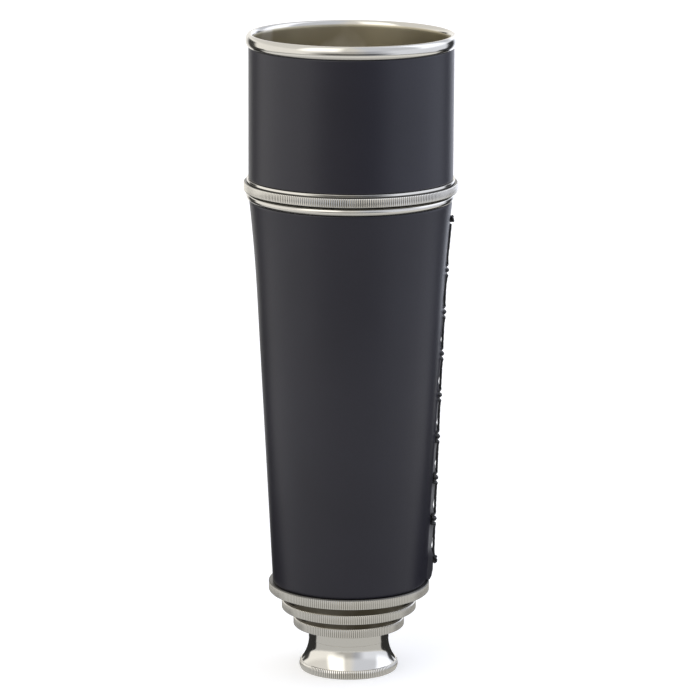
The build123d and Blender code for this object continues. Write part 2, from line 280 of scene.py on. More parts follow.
def sleeve(name, middle, seam_turn, spread, rise, ends, rows, outer, wear_and_highlight=None):
    """Leather sleeve between two heights, whose seam has its own cross-section.

    Columns near the seam lie at a sideways distance t from its middle, at sqrt(R^2 - t^2) + rise, and the
    rest, middle in number, go round the axis. outer(z) gives R, seam_turn is the angle of the seam,
    rise(z, t) is an array of heights, and the last argument gives an array of worn dye and painted
    highlight, which goes into an attribute of that argument's name. The inner wall is the circle one
    leather's thickness inside R. At each end a quarter of an ellipse over ROUNDED_EDGE of the wall, then a
    flat, joins the two.
    """
    heights = np.linspace(ends[0] + EDGE_ROUND, ends[1] - EDGE_ROUND, rows)
    radius = outer(heights)
    side = np.concatenate([spread, -spread[::-1]])
    end = spread[-1]
    around = np.linspace(0.0, 1.0, middle + 2)[1:-1]
    top = np.sqrt(radius[:, None] ** 2 - side[None, :] ** 2) + rise(heights[:, None], side[None, :])
    start_angle = np.arcsin(end / radius)
    body_angle = start_angle[:, None] + around[None, :] * (TURN - 2 * start_angle[:, None])
    half = len(spread)
    x = np.hstack([top[:, :half], radius[:, None] * np.cos(body_angle), top[:, half:]])
    wide = np.broadcast_to(side, top.shape)
    y = np.hstack([wide[:, :half], radius[:, None] * np.sin(body_angle), wide[:, half:]])
    z = np.repeat(heights[:, None], x.shape[1], axis=1)
    outside = np.stack([x, y, z], axis=-1)
    flat = np.hypot(x, y)
    within = (radius - LEATHER)[:, None]
    inward = np.stack([x / flat * within, y / flat * within, z], axis=-1)
    quarter = np.linspace(0.0, math.pi / 2, 4)[:, None, None]
    tuck = np.sin(quarter) * EDGE_ROUND
    lift = (1 - np.cos(quarter)) * ROUNDED_EDGE
    edges = []
    for end_row, way in ((-1, 1.0), (0, -1.0)):
        edge = outside[end_row][None] + (inward[end_row] - outside[end_row])[None] * lift
        edge[..., 2] += way * tuck[..., 0]
        edges += [edge, inward[end_row][None] + np.array([0, 0, way * EDGE_ROUND])]
    top_edge, inner_top, low_edge, inner_low = edges
    points = np.concatenate([outside, top_edge[1:], inner_top, inner_low, low_edge[:0:-1]])
    sine, cosine = math.sin(seam_turn), math.cos(seam_turn)
    points[..., :2] = points[..., :2] @ np.array([[cosine, sine], [-sine, cosine]])
    faces = grid_faces(points.shape[0], points.shape[1], True)
    piece = put_mesh(name, points.reshape(-1, 3), faces, sharp=CREASE_ANGLE)
    if wear_and_highlight:
        # Worn dye and a painted highlight along the seam's turned edges, for the leather's material
        wear_highlight = np.zeros(points.shape[:2])
        wear_highlight[:rows, :half] = wear_and_highlight(heights[:, None], side[None, :half])
        wear_highlight[:rows, -half:] = wear_and_highlight(heights[:, None], side[None, half:])
        put_attribute(piece, "wear_and_highlight", wear_highlight)
    return piece


def cord_shell(path, outward, thickness, strands, lay, sides):
    """Points of the skin of a laid cord along a path, its ends drawn in to a round.

    The radius is r (0.9 + 0.1 cos(n angle - turn * length / lay)), so n strands wind round it, each coming
    back to its place after n lays. outward is a vector across the path at each point, from which the
    angle is counted.
    """
    along = np.gradient(path, axis=0)
    along /= np.linalg.norm(along, axis=1)[:, None]
    across = outward - (outward * along).sum(1)[:, None] * along
    across /= np.linalg.norm(across, axis=1)[:, None]
    third = np.cross(along, across)
    length = lengths(path)
    angle = np.arange(sides) * TURN / sides
    phase = strands * (angle[None, :] - TURN * length[:, None] / (lay * strands))
    radius = thickness / 2 * (0.9 + 0.1 * np.cos(phase))
    ends = np.minimum(length, length[-1] - length)
    radius *= np.sqrt(np.clip(1 - (1 - np.clip(ends / (thickness / 2), 0, 1)) ** 2, 0.02, 1))[:, None]
    ring = np.cos(angle)[None, :, None] * across[:, None] + np.sin(angle)[None, :, None] * third[:, None]
    return (path[:, None] + radius[..., None] * ring).reshape(-1, 3)


def cord(name, runs, thickness, strands, lay, sides):
    """A piece made of one or more laid cords, each a (path, outward) pair, their ends closed by fans."""
    all_points, all_quads, fans = [], [], []
    offset = 0
    for path, outward in runs:
        count = len(path)
        column = np.arange(sides)
        after = (column + 1) % sides
        first = offset + count * sides
        last = offset + (count - 1) * sides
        fans.append(np.stack([np.full(sides, first), offset + after, offset + column], axis=1))
        fans.append(np.stack([last + column, last + after, np.full(sides, first + 1)], axis=1))
        skin = cord_shell(path, outward, thickness, strands, lay, sides)
        all_points += [skin, path[:1], path[-1:]]
        all_quads.append(grid_faces(count, sides, False) + offset)
        offset += count * sides + 2
    return put_mesh(name, np.vstack(all_points), np.vstack(all_quads), np.vstack(fans), sharp=None)


def spline(points, step):
    """Smooth path through points: a uniform Catmull-Rom curve, then evened out to a step."""
    points = np.asarray(points, float)
    points = np.vstack([2 * points[0] - points[1], points, 2 * points[-1] - points[-2]])
    part = np.linspace(0.0, 1.0, 17)[:-1][None, :, None]
    p0, p1, p2, p3 = (points[i : len(points) - 3 + i][:, None] for i in range(4))
    curve = 0.5 * (
        2 * p1
        + (p2 - p0) * part
        + (2 * p0 - 5 * p1 + 4 * p2 - p3) * part**2
        + (3 * p1 - p0 - 3 * p2 + p3) * part**3
    )
    curve = np.vstack([curve.reshape(-1, 3), points[-2]])
    length = lengths(curve)
    even = np.linspace(0.0, length[-1], max(int(length[-1] / step), 8))
    return np.stack([np.interp(even, length, curve[:, axis]) for axis in range(3)], axis=1)


# Finishes


class Signal:
    """A number on its way through a material's nodes. Python operators add the nodes that combine it."""

    def __init__(self, finish, socket):
        self.finish = finish
        self.socket = socket

    def math(self, operation, first, second):
        return self.finish.node("ShaderNodeMath", {"operation": operation}, {0: first, 1: second})

    def __add__(self, other):
        return self.math("ADD", self, other)

    def __sub__(self, other):
        return self.math("SUBTRACT", self, other)

    def __rsub__(self, other):
        return self.math("SUBTRACT", other, self)

    def __mul__(self, other):
        return self.math("MULTIPLY", self, other)

    def __truediv__(self, other):
        return self.math("DIVIDE", self, other)

    def __pow__(self, other):
        return self.math("POWER", self, other)

    __radd__ = __add__
    __rmul__ = __mul__


class Nodes:
    """A node tree, with one method that adds any node."""

    def __init__(self, tree):
        self.tree = tree

    def node(self, kind, settings=None, values=None, output=0):
        """Add a node: its settings first, then its sockets' values or links. Gives one output."""
        node = self.tree.nodes.new(kind)
        for key, value in (settings or {}).items():
            setattr(node, key, value)
        for key, value in (values or {}).items():
            self.join(value, node.inputs[key])
        return Signal(self, node.outputs[output])

    def join(self, value, socket):
        """Link a signal to a socket, or set the socket to a plain value."""
        if isinstance(value, Signal):
            self.tree.links.new(value.socket, socket)
        else:
            socket.default_value = value

    def split(self, vector):
        """The three numbers of a vector."""
        node = self.tree.nodes.new("ShaderNodeSeparateXYZ")
        self.join(vector, node.inputs[0])
        return [Signal(self, node.outputs[index]) for index in range(3)]

    def span(self, value, low, high, to_low=0.0, to_high=1.0, kind="LINEAR"):
        """Map a number from one range to another, and keep it there."""
        values = {"Value": value, "From Min": low, "From Max": high, "To Min": to_low, "To Max": to_high}
        settings = {"clamp": True, "interpolation_type": kind}
        return self.node("ShaderNodeMapRange", settings, values)

    def window(self, value, low, high, soft):
        """1 where a number lies between low and high, with soft edges outside them."""
        return self.span(value, low - soft, low) * self.span(value, high, high + soft, 1.0, 0.0)

    def blend(self, factor, first, second):
        """Mix two colours."""
        values = {0: factor, 6: first, 7: second}
        return self.node("ShaderNodeMix", {"data_type": "RGBA"}, values, output=2)


class Finish(Nodes):
    """A material on a Principled shader, with the few kinds of node that the flask's finishes use."""

    def __init__(self, name, **uniform):
        self.material = bpy.data.materials.new(name)
        self.material.use_nodes = True
        super().__init__(self.material.node_tree)
        self.shader = self.tree.nodes["Principled BSDF"]
        for socket, value in uniform.items():
            self.shader.inputs[socket.replace("_", " ")].default_value = value
        self.place = self.node("ShaderNodeTexCoord", output="Object")

    def noise(self, scale, detail=2.0, roughness=0.5, vector=None, distortion=0.0):
        """Smooth noise, its scale in cells per metre."""
        values = {
            "Vector": vector or self.place,
            "Scale": scale,
            "Detail": detail,
            "Roughness": roughness,
            "Distortion": distortion,
        }
        return self.node("ShaderNodeTexNoise", None, values)

    def cells(self, scale):
        """Distance to the nearest of many scattered points, blunted between them."""
        values = {"Vector": self.place, "Scale": scale}
        return self.node("ShaderNodeTexVoronoi", {"feature": "SMOOTH_F1"}, values)

    def lines(self, around, up, detail, roughness):
        """Noise stretched along the height or round the axis: its scale is around in X and Y and up in Z."""
        values = {"Vector": self.place, "Scale": (around, around, up)}
        stretched = self.node("ShaderNodeMapping", None, values)
        return self.noise(1.0, detail, roughness, vector=stretched)

    def attribute(self, name):
        """A number that the mesh keeps at each point."""
        return self.node("ShaderNodeAttribute", {"attribute_name": name}, output=2)

    def radius_height(self):
        """Distance from the flask's axis, and height."""
        x, y, height = self.split(self.place)
        return (x * x + y * y) ** 0.5, height

    def bumps(self, height, strength, distance, below=None):
        """Bump of a height in metres, on top of another bump if given."""
        values = {"Height": height, "Strength": strength, "Distance": distance}
        if below is not None:
            values["Normal"] = below
        return self.node("ShaderNodeBump", None, values)

    def send(self, **outputs):
        """Join signals to the shader's sockets, and give the material."""
        for name, value in outputs.items():
            self.join(value, self.shader.inputs[name.replace("_", " ")])
        return self.material


def colour(rgb, share=1.0):
    """A colour property as a node value, times a share."""
    return (rgb[0] * share, rgb[1] * share, rgb[2] * share, 1.0)


# Colours of worn leather with a painted highlight, a darker and a paler bore, painted shade, and rubber

WORN_HIGHLIGHT = (0.20, 0.195, 0.19, 1.0)
BORE_DARK = (0.55, 0.50, 0.37, 1.0)
BORE_PALE = (0.80, 0.76, 0.66, 1.0)
RECESS_SHADE_TINT = (0.075, 0.064, 0.043, 1.0)
RUBBER = (0.03, 0.03, 0.032)


def leather_finish(name, tint, sheen, grain, worn_and_highlit=False):
    """Smooth calf with a fine grain: small cells, faint creases, slow changes of tone and polish.

    Where the seam's attribute of worn dye and painted highlight is high, the colour goes paler.
    """
    finish = Finish(name, Metallic=0.0, Specular_IOR_Level=0.5, Coat_Roughness=0.3)
    cells = finish.cells(1.0 / grain)
    fine = finish.noise(2.4 / grain, 4.0, 0.6)
    creases = finish.noise(120.0, 6.0, 0.62, distortion=0.6)
    slow = finish.noise(22.0, 3.0, 0.55)
    tone = finish.span(slow, 0.3, 0.7)
    pores = finish.span(cells, 0.1, 0.6, 0.0, 1.0)
    base = finish.blend(tone, colour(tint, 0.88), colour(tint, 1.14))
    base = finish.blend((1.0 - pores) * 0.35, base, colour(tint, 0.62))
    if worn_and_highlit:
        # Paler colour on the seam's turned edges: dye worn away, and a painted highlight
        highlight_share = finish.attribute("wear_and_highlight") * finish.span(creases, 0.3, 0.6, 0.55, 1.0)
        base = finish.blend(highlight_share, base, WORN_HIGHLIGHT)
    rough = sheen + (slow - 0.5) * 0.06 + (1.0 - pores) * 0.04 + (creases - 0.5) * 0.04
    low = finish.bumps(creases, 0.18, 0.12 * MM)
    mid = finish.bumps(cells, 0.16, 0.06 * MM, low)
    top = finish.bumps(fine, 0.08, 0.03 * MM, mid)
    return finish.send(Base_Color=base, Roughness=rough, Normal=top, Coat_Weight=0.12 + tone * 0.06)


def polished_finish(name, tint, polish, shade_band=None, bore=None):
    """Turned and buffed metal: faint rings from the lathe, soft smears and a few fine scratches.

    The fourth argument is the low and high end of a band painted dark brown as shade, in the recess between
    two collars.
    bore is the radius inside which the metal is left satin, darker brown in patches and paler in others.
    """
    finish = Finish(name, Metallic=1.0)
    rings = finish.lines(6.0, 5200.0, 3.0, 0.7)
    smears = finish.noise(46.0, 4.0, 0.6, distortion=0.8)
    marks = finish.lines(1400.0, 60.0, 2.0, 0.5)
    worn = finish.span(smears, 0.42, 0.75)
    base = finish.blend(worn * 0.5, colour(tint), colour(tint, 0.93))
    scratch = finish.span(marks, 0.62, 0.72)
    rough = polish + worn * 0.05 + (rings - 0.5) * 0.05 + scratch * 0.05
    if bore:
        inside = finish.span(finish.radius_height()[0], bore + 0.02 * MM, bore + 0.12 * MM, 1.0, 0.0)
        # Inside the bore: darker brown metal in patches and paler metal in others
        pale_patches = finish.span(finish.noise(62.0, 1.5), 0.50, 0.60)
        satin = finish.blend(pale_patches, BORE_DARK, BORE_PALE)
        base = finish.blend(inside, base, satin)
        rough = rough + inside * 0.26
    if shade_band:
        # Painted shade: a dark brown, rougher band on the wall in the recess between collars
        height = finish.radius_height()[1]
        brown = finish.window(height, *shade_band, 0.5 * MM) * (0.8 + smears * 0.35)
        base = finish.blend(brown, base, RECESS_SHADE_TINT)
        rough = rough + brown * 0.16
    normal = finish.bumps(rings, 0.05, 0.01 * MM)
    return finish.send(Base_Color=base, Roughness=rough, Normal=normal)


def knurl_finish(name, tint, polish, painted_shade_bands=()):
    """Knurled metal: bright worn crests, and dull dark grooves where the "groove" attribute is high, partly
    dirty metal and partly painted shade.

    The last argument lists the low and high end of each band of heights painted dark as shade, at the ring's
    edges and grooves beside other parts.
    """
    finish = Finish(name, Metallic=1.0)
    height = finish.radius_height()[1]
    smears = finish.noise(60.0, 4.0, 0.6)
    rings = finish.lines(8.0, 4200.0, 3.0, 0.7)
    # Grooves darkened, partly dirty metal and partly painted shade; each listed band adds painted shade
    dirt_and_shade = finish.span(finish.attribute("groove"), 0.25, 1.0) * (0.36 + smears * 0.5)
    for band in painted_shade_bands:
        dirt_and_shade = dirt_and_shade + finish.window(height, *band, 0.06 * MM) * 1.1
    base = finish.blend(dirt_and_shade, colour(tint, 1.08), colour(tint, 0.22))
    rough = polish + dirt_and_shade * 0.2 + (smears - 0.5) * 0.06 + (rings - 0.5) * 0.05
    normal = finish.bumps(rings, 0.06, 0.01 * MM)
    return finish.send(Base_Color=base, Roughness=rough, Normal=normal)


def brushed_finish(name, tint, polish):
    """Brushed sheet for the parts inside: rings round the axis, and dull patches of solder heat."""
    finish = Finish(name, Metallic=1.0)
    rings = finish.lines(14.0, 2600.0, 4.0, 0.75)
    radius = finish.radius_height()[0]
    outward = finish.node("ShaderNodeCombineXYZ", None, {0: radius * 2600.0})
    turning = finish.noise(1.0, 3.0, 0.7, vector=outward)
    lines = rings * 0.5 + turning * 0.5
    patches = finish.noise(70.0, 4.0, 0.6)
    base = finish.blend(finish.span(patches, 0.35, 0.75), colour(tint), colour(tint, 0.78))
    rough = polish + (lines - 0.5) * 0.16 + (patches - 0.5) * 0.12
    return finish.send(Base_Color=base, Roughness=rough, Normal=finish.bumps(lines, 0.12, 0.02 * MM))


def thread_finish(name, tint):
    """Waxed linen thread: fine fibres, wax rubbed off the high places."""
    finish = Finish(name, Metallic=0.0, Specular_IOR_Level=0.5)
    fibres = finish.noise(9000.0, 3.0, 0.7)
    wax = finish.noise(900.0, 3.0, 0.6)
    worn = finish.span(wax, 0.45, 0.75)
    base = finish.blend(worn, colour(tint, 0.8), colour(tint, 1.5))
    rough = 0.36 + worn * 0.22 + (fibres - 0.5) * 0.12
    return finish.send(Base_Color=base, Roughness=rough, Normal=finish.bumps(fibres, 0.35, 0.03 * MM))


def soft_finish(name, tint):
    """Soft rubber with a bloom and a fine moulded texture."""
    finish = Finish(name, Metallic=0.0)
    bloom = finish.noise(160.0, 4.0, 0.6)
    grit = finish.noise(5200.0, 2.0, 0.6)
    base = finish.blend(finish.span(bloom, 0.35, 0.7), colour(tint), colour(tint, 1.9))
    rough = 0.62 + (bloom - 0.5) * 0.2
    return finish.send(Base_Color=base, Roughness=rough, Normal=finish.bumps(grit, 0.25, 0.02 * MM))


def floor_finish(tint):
    """Pale paper sweep."""
    finish = Finish("sweep_paper", Metallic=0.0)
    fibre = finish.noise(900.0, 3.0, 0.6)
    base = finish.blend(fibre, colour(tint, 0.99), colour(tint))
    glow = finish.blend(fibre, colour((1.0, 1.0, 1.0), 0.98), colour((1.0, 1.0, 1.0)))
    finish.shader.inputs["Emission Strength"].default_value = 0.35
    return finish.send(Base_Color=base, Roughness=0.9 + (fibre - 0.5) * 0.1, Emission_Color=glow)


def table_finish():
    """What the metal sees of the table: a painted shadow of the flask near it, paler away from it, then
    darker, and clear at its rim.

    A dark wedge at each back corner, narrower in angle farther out, is the foot of the sky's dark card.
    """
    uniform = {"Roughness": 1.0, "Emission_Strength": 1.0, "Specular_IOR_Level": 0.0}
    finish = Finish("table_glow", Metallic=0.0, **uniform)
    distance = finish.radius_height()[0]
    # Darker near the flask: a painted shadow of the flask in the table's glow
    near = finish.span(distance, 0.15, 0.3, 0.54, 0.88)
    level = near * finish.span(distance, 0.34, 0.5, 1.0, 0.2)
    front = finish.split(finish.place)[1] * -1.0 / (distance + 1e-6)
    card_end = finish.span(distance, 0.05, 0.3, -0.12, -0.58)
    level = level * (1.0 - finish.window(front, -0.84, card_end, 0.08) * CARD_DARK)
    glow = finish.node("ShaderNodeCombineColor", None, {0: level, 1: level, 2: level})
    cover = finish.span(distance, 0.48, 0.56, 1.0, 0.0)
    return finish.send(Base_Color=(0.0, 0.0, 0.0, 1.0), Emission_Color=glow, Alpha=cover)


# What a user would change


def tint_setting(name, description, default):
    """A colour property."""
    return FloatVectorProperty(
        name=name, description=description, subtype="COLOR", default=default, min=0.0, max=1.0
    )


def share_setting(name, description, default):
    """A property between 0 and 1."""
    return FloatProperty(
        name=name, description=description, subtype="FACTOR", default=default, min=0.0, max=1.0
    )


def length_setting(name, description, default, low=0.0):
    """A length property, in metres."""
    return FloatProperty(
        name=name, description=description, subtype="DISTANCE", unit="LENGTH", default=default, min=low
    )


def angle_setting(name, description, degrees):
    """An angle property, its default given in degrees."""
    return FloatProperty(
        name=name, description=description, subtype="ANGLE", unit="ROTATION", default=math.radians(degrees)
    )


class FLASK_PG_metal(bpy.types.PropertyGroup):
    tint: tint_setting("Metal", "Colour of the polished metal", (0.77, 0.745, 0.68))
    inner_tint: tint_setting("Inner Metal", "Colour of the brushed parts inside", (0.56, 0.55, 0.53))
    polish: share_setting("Polish", "Roughness of the polished metal", 0.09)
    knurl_pitch: length_setting(
        "Knurl Pitch", "Distance between two teeth of a knurl", 0.7 * MM, 0.3 * MM
    )
    knurl_depth: length_setting("Knurl Depth", "Depth of the grooves of a knurl", 0.24 * MM, 0.05 * MM)


class FLASK_PG_cover(bpy.types.PropertyGroup):
    tint: tint_setting("Leather", "Colour of the leather", (0.0135, 0.0125, 0.0225))
    sheen: share_setting("Leather Roughness", "Roughness of the leather", 0.36)
    grain: length_setting("Grain", "Size of the leather's grain", 0.45 * MM, 0.1 * MM)
    edge: length_setting(
        "Turned Edge", "Width of each turned-up edge of the laced seam", 1.25 * MM, 0.5 * MM
    )


class FLASK_PG_lace(bpy.types.PropertyGroup):
    tint: tint_setting("Lace", "Colour of the waxed lace", (0.013, 0.012, 0.013))
    thickness: length_setting("Thickness", "Thickness of the lace", 0.85 * MM, 0.3 * MM)
    ties: IntProperty(
        name="Ties", description="Number of ties between the two end knots", default=7, min=1
    )
    pitch: length_setting("Pitch", "Distance between two ties", 13.8 * MM, 5 * MM)
    top_tie: length_setting("Top Tie", "Height of the uppermost tie", 133.3 * MM)


class FLASK_PG_stage(bpy.types.PropertyGroup):
    floor: tint_setting("Floor", "Colour of the floor", (0.93, 0.93, 0.93))
    camera_distance: length_setting(
        "Camera Distance", "Level distance from the flask's axis to the camera", 1.236
    )
    camera_height: length_setting("Camera Height", "Height of the camera above the floor", 0.3739)
    camera_pitch: angle_setting("Camera Pitch", "How far the camera looks down", 12.2)
    camera_roll: angle_setting("Camera Roll", "How far the camera leans to its left", 0.27)
    lens: FloatProperty(
        name="Lens", description="Focal length on a 36 mm sensor", subtype="DISTANCE_CAMERA",
        default=200.57, min=10.0,
    )


def finish_piece(piece, body, material, node):
    """Give a piece its body and its material, and hide the node it stands for."""
    piece.data.materials.append(material)
    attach(piece, body)
    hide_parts(node)


# The stage: half the side of the floor and of the table's glow, the turn of each soft box and of the
# streak from the front, in degrees, how bright they and the light from above are, and how much the dark
# cards and the dark beyond the table take away

FLOOR_REACH = 40.0
TABLE_REACH = 0.6
TABLE_DROP = 0.3 * MM
BOX_TURNS = (-36.0, 106.0)
BOX_LEVEL = 0.8
STREAK_TURN = 159
STREAK_LEVEL = 0.6
TOP_LEVEL = 0.8
CARD_DARK = 0.94
BEYOND_DARK = 0.75


class FLASK_OT_stage(bpy.types.Operator):
    """Floor, soft studio light and the camera"""

    bl_idname = "flask.stage"
    bl_label = "Stage"

    def execute(self, context):
        stage = context.scene.flask_stage
        floor = self.plane("floor", FLOOR_REACH, 0.0, floor_finish(stage.floor))
        floor.visible_glossy = False
        table = self.plane("table_light", TABLE_REACH, -TABLE_DROP, table_finish())
        table.visible_camera = False
        table.visible_shadow = False
        self.sky()
        camera_data = bpy.data.cameras.new("camera")
        camera_data.lens = stage.lens
        camera_data.sensor_width = 36.0
        camera = bpy.data.objects.new("camera", camera_data)
        context.scene.collection.objects.link(camera)
        tilt = Matrix.Rotation(math.pi / 2 - stage.camera_pitch, 4, "X")
        roll = Matrix.Rotation(stage.camera_roll, 4, "Z")
        place = Matrix.Translation((0.0, -stage.camera_distance, stage.camera_height))
        camera.matrix_world = place @ tilt @ roll
        context.scene.camera = camera
        context.scene.view_settings.view_transform = "Standard"
        return {"FINISHED"}

    def sky(self):
        """Studio round the flask, from the direction (x, y, z) alone.

        front is -y and side is x, each over the level length, so front is 1 towards the camera and -1
        behind the flask. The light is 1 and falls to a half towards the camera. Low down, a dark card
        stands at each back corner, and dark lies beyond the table in front. Over them come an even light
        from above, a soft box at each of two turns, a streak behind, and a cooler tone to the right.
        """
        world = bpy.data.worlds.new("studio")
        bpy.context.scene.world = world
        world.use_nodes = True
        sky = Nodes(world.node_tree)
        x, y, z = sky.split(sky.node("ShaderNodeTexCoord"))
        flat = (x * x + y * y + 1e-6) ** 0.5
        front = y * -1.0 / flat
        side = x / flat
        light = sky.span(front, 0.66, 0.97, 1.0, 0.5, "SMOOTHSTEP")
        card_end = sky.span(z, -0.29, -0.23, -0.44, -0.66)
        card = sky.window(z, -0.75, 0.13, 0.06) * sky.window(front, -0.83, card_end, 0.10)
        light = light * (1.0 - card * CARD_DARK)
        beyond = sky.window(z, -0.33, -0.13, 0.05) * sky.span(front, 0.6, 0.9)
        light = light * (1.0 - beyond * BEYOND_DARK)
        over = sky.span(z, 0.2, 0.42, kind="SMOOTHSTEP")
        light = light * (1.0 - over) + over * TOP_LEVEL

        def facing(turn):
            """Cosine of the level angle between a direction and a turn from the front."""
            aim = math.radians(turn)
            return side * math.sin(aim) + front * math.cos(aim)

        for turn in BOX_TURNS:
            box = sky.span(facing(turn), 0.87, 0.97, kind="SMOOTHSTEP") * sky.window(z, 0.3, 0.8, 0.24)
            light = light + box * BOX_LEVEL
        streak = sky.span(facing(STREAK_TURN), 0.965, 0.99) * sky.window(z, -0.6, 0.3, 0.1)
        light = light + streak * STREAK_LEVEL
        cool = sky.window(side, 0.35, 1.1, 0.3)
        shade = sky.blend(cool, (1.0, 0.985, 0.965, 1.0), (0.84, 0.88, 1.0, 1.0))
        glow = sky.node("ShaderNodeVectorMath", {"operation": "SCALE"}, {0: shade, 3: light})
        sky.join(glow, world.node_tree.nodes["Background"].inputs["Color"])

    def plane(self, name, size, height, material):
        """Level square about the axis, size from its middle to its sides."""
        corners = np.array([[-1, -1, 0], [1, -1, 0], [1, 1, 0], [-1, 1, 0]]) * size + [0, 0, height]
        piece = put_mesh(name, corners, np.array([[0, 1, 2, 3]]), sharp=None)
        piece.data.materials.append(material)
        piece.visible_diffuse = False
        return piece


class FLASK_OT_eyepiece(bpy.types.Operator):
    """Flared foot with its knurled edge, and the collar of the inner cup above it"""

    bl_idname = "flask.eyepiece"
    bl_label = "Eyepiece and Inner Collar"

    def execute(self, context):
        metal = context.scene.flask_metal
        cove_low, cove_wide, waist = 2.9 * MM, 15.5 * MM, 13.1 * MM
        bulge = oval((FOOT_R - 1.6 * MM, 1.42 * MM), 1.6 * MM, 2.1 * MM, -41, 43, 13)
        bulge[:, 1] = np.clip(bulge[:, 1], 0.0, None)
        rise = WAIST_Z - cove_low
        step_in = cove_wide - waist
        radius = (rise**2 + step_in**2) / (2 * step_in)
        sweep = np.linspace(math.asin(rise / radius), 0.0, 26)
        cove = np.stack([waist + radius * (1 - np.cos(sweep)), WAIST_Z - radius * np.sin(sweep)], axis=1)
        inner = section(
            (11.5, 13.5, 0.2), (9.9, 13.5, 0.2), (9.9, 10.3, 0.3), (13.9, 2.9, 0.3), (13.9, 0.0, 0.25),
            (15.2, 0.0, 0.0),
        )
        profile = np.vstack([bulge, cove, [[11.5 * MM, WAIST_Z]], inner[2:-1]])
        crest = np.full(len(profile), np.inf)
        crest[1 : len(bulge) - 1] = profile[1 : len(bulge) - 1, 0]
        foot = knurled("turned_eyepiece", profile, crest, FOOT_R, metal)
        material = knurl_finish("eyepiece_metal", metal.tint, metal.polish)
        finish_piece(foot, "inner_cup", material, "eyepiece_foot")

        profile = section(
            (11.5, 10.3, 0.1), (13.15, 10.3, 0.12), (13.15, 14.7, 0.25), (17.95, 14.7, 0.0),
            (18.2, 14.95, 0.0), (18.2, 17.35, 0.0), (17.95, 17.6, 0.0), (17.4, 17.6, 0.1),
            (17.4, 15.7, 0.1), (11.5, 15.7, 0.1),
        )
        collar = knurled_band("knurled_inner_collar", profile, INNER_COLLAR_R, metal)
        material = knurl_finish("inner_collar_metal", metal.tint, metal.polish)
        finish_piece(collar, "inner_cup", material, "inner_cup_collar")
        return {"FINISHED"}


class FLASK_OT_rings(bpy.types.Operator):
    """Knurled rings of the outer cup, the barrel's end and the beaker's base"""

    bl_idname = "flask.rings"
    bl_label = "Knurled Rings"

    def execute(self, context):
        metal = context.scene.flask_metal
        outer_collar = section(
            (17.5, 20.4, 0.15), (21.8, 20.4, 0.0), (22.05, 20.65, 0.0), (22.05, 23.05, 0.0),
            (21.8, 23.3, 0.0), (21.3, 23.3, 0.1), (21.3, 21.4, 0.1), (20.7, 21.4, 0.1),
            (20.7, 24.4, 0.1), (18.4, 24.4, 0.1), (18.4, 21.4, 0.1), (17.5, 21.4, 0.1),
        )
        end_ring = section(
            (21.4, 26.6, 0.15), (26.05, 26.6, 0.0), (26.3, 26.85, 0.0), (26.3, 29.55, 0.0),
            (26.05, 29.8, 0.0), (23.2, 29.8, 0.1), (23.2, 31.6, 0.1), (22.3, 31.6, 0.1),
            (22.3, 27.6, 0.1), (21.4, 27.6, 0.1),
        )
        base_ring = section(
            (31.9, 159.4, 0.0), (34.2, 159.4, 0.0), (34.45, 159.65, 0.0), (34.45, 162.05, 0.0),
            (34.2, 162.3, 0.0), (33.1, 162.3, 0.05), (33.1, 162.6, 0.05), (33.5, 162.6, 0.12),
            (33.5, 163.4, 0.12), (31.9, 163.4, 0.0),
        )
        # Painted shade: the end ring's top under the leather, the base ring's groove, and its low edge over
        # the gap
        end_ring_shade = ((29.5 * MM, 31.0 * MM),)
        base_ring_shade = ((162.3 * MM, 162.6 * MM), (159.2 * MM, 159.5 * MM))
        for name, profile, radius, body, node, painted_shade_bands in (
            ("knurled_outer_collar", outer_collar, OUTER_COLLAR_R, "outer_cup", "outer_cup_collar", ()),
            ("knurled_end_ring", end_ring, END_RING_R, "barrel", "barrel_end_ring", end_ring_shade),
            ("knurled_base_ring", base_ring, BASE_RING_R, "beaker", "beaker_base_ring", base_ring_shade),
        ):
            ring = knurled_band(name, profile, radius, metal)
            material = knurl_finish(name + "_metal", metal.tint, metal.polish, painted_shade_bands)
            finish_piece(ring, body, material, node)
        return {"FINISHED"}


def rolled_rim(wall, bore, rim, top, half_height, end, steps):
    """Rolled rim, as the points of an ellipse from the outer wall round to just inside the bore.

    end is the angle at which it stops, in degrees.
    """
    half_width = (rim - bore + 0.05 * MM) / 2
    centre = (rim - half_width, top - half_height)
    start = 360 - math.degrees(math.acos((wall - centre[0]) / half_width))
    return oval(centre, half_width, half_height, start, end, steps)


